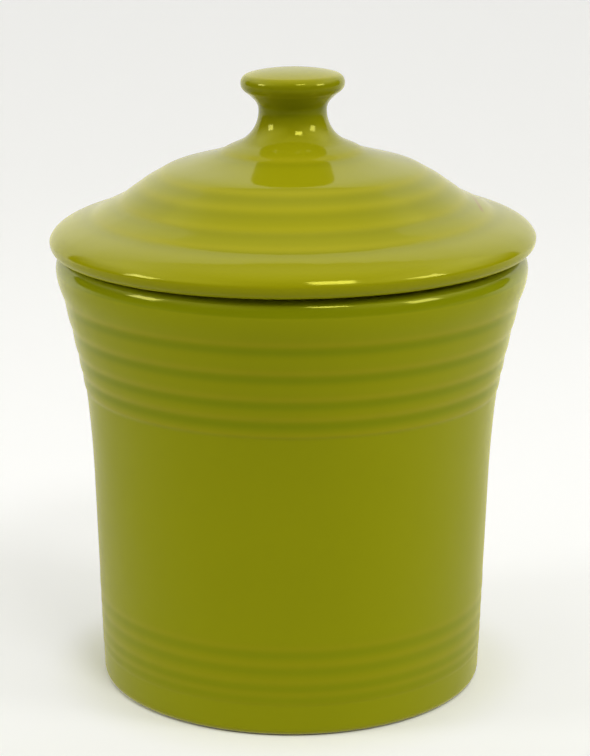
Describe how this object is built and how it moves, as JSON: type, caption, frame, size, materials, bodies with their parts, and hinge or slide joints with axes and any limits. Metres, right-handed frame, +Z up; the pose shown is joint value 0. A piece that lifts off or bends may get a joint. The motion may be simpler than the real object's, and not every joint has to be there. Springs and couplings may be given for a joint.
{
  "type": "lidded ceramic jam jar",
  "caption": "Flared round glazed ceramic jam jar with two bands of turned rings, a foot ring and a loose domed lid with a waisted knob.",
  "frame": {"origin": "centre of the jar's base, at the surface it stands on, on the jar's axis", "axes": "+Z up along the jar's axis; -Y is the side seen from the front; +X is the side on which the lid is raised a little"},
  "size_m": [0.092, 0.092, 0.1183],
  "materials": {
    "jar_glaze": "glossy opaque yellow-green glaze, thinner and paler on the edges of the rings",
    "lid_glaze": "glossy opaque yellow-green glaze, thinner and paler on the edges of the rings"
  },
  "bodies": {
    "root": {"jar": "jar_glaze", "lid": "lid_glaze"}
  },
  "joints": []
}
